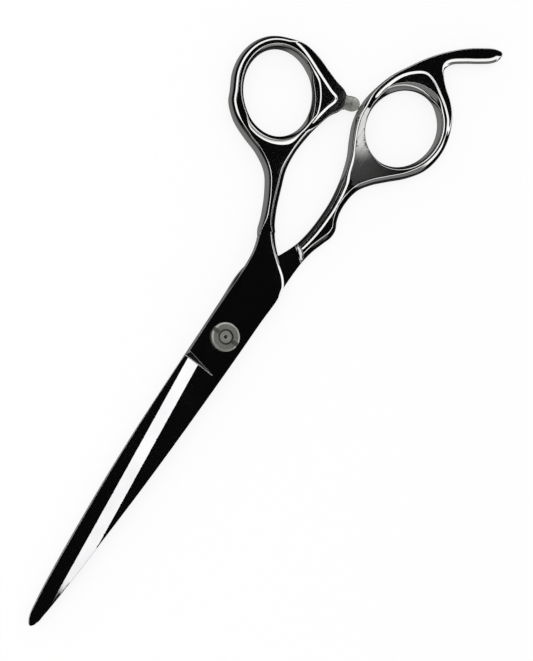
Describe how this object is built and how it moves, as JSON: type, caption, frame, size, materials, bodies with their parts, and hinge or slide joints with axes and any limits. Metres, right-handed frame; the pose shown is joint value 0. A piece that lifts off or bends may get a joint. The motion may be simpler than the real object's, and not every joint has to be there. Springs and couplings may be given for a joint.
{
  "type": "hair cutting shears",
  "caption": "Slim pivoting hair cutting shears with convex ground blades, an offset grip with oval finger rings, a fixed finger rest, a slotted tension nut and a rubber bumper.",
  "frame": {"origin": "on the pivot axis, in the plane of the rear blade's outer face, where the shears rest when laid down", "axes": "+X along the closed blades from the pivot to the tip, +Y towards the finger ring's outer side, +Z along the pivot from the bolt head to the tension nut"},
  "size_m": [0.1973, 0.0596, 0.0065],
  "materials": {
    "blade_steel": "mirror polished stainless steel",
    "grip_steel": "mirror polished cast stainless steel",
    "bolt_steel": "turned",
    "spring_steel": "blued",
    "nut_steel": "satin turned",
    "bronze": "ground",
    "polymer": "moulded",
    "bumper_rubber": "translucent moulded"
  },
  "bodies": {
    "finger_half": {"finger_blade": "blade_steel", "finger_handle": "grip_steel", "pivot_bolt": "bolt_steel", "glide_washer": "polymer", "thrust_washer": "bronze", "wave_washer": "spring_steel"},
    "thumb_half": {"thumb_blade": "blade_steel", "thumb_handle": "grip_steel", "pivot_bushing": "polymer", "bumper": "bumper_rubber", "bumper_screw": "bolt_steel"},
    "nut": {"tension_nut": "nut_steel"}
  },
  "joints": [
    {"name": "scissor", "type": "hinge", "parent": "finger_half", "child": "thumb_half", "pos_m": [0, 0, 0.00262], "axis": [0, 0, 1], "range_deg": [0, 90]},
    {"name": "tension_turn", "type": "hinge", "parent": "finger_half", "child": "nut", "pos_m": [0, 0, 0.0059], "axis": [0, 0, 1], "range_deg": [-90, 90]}
  ]
}
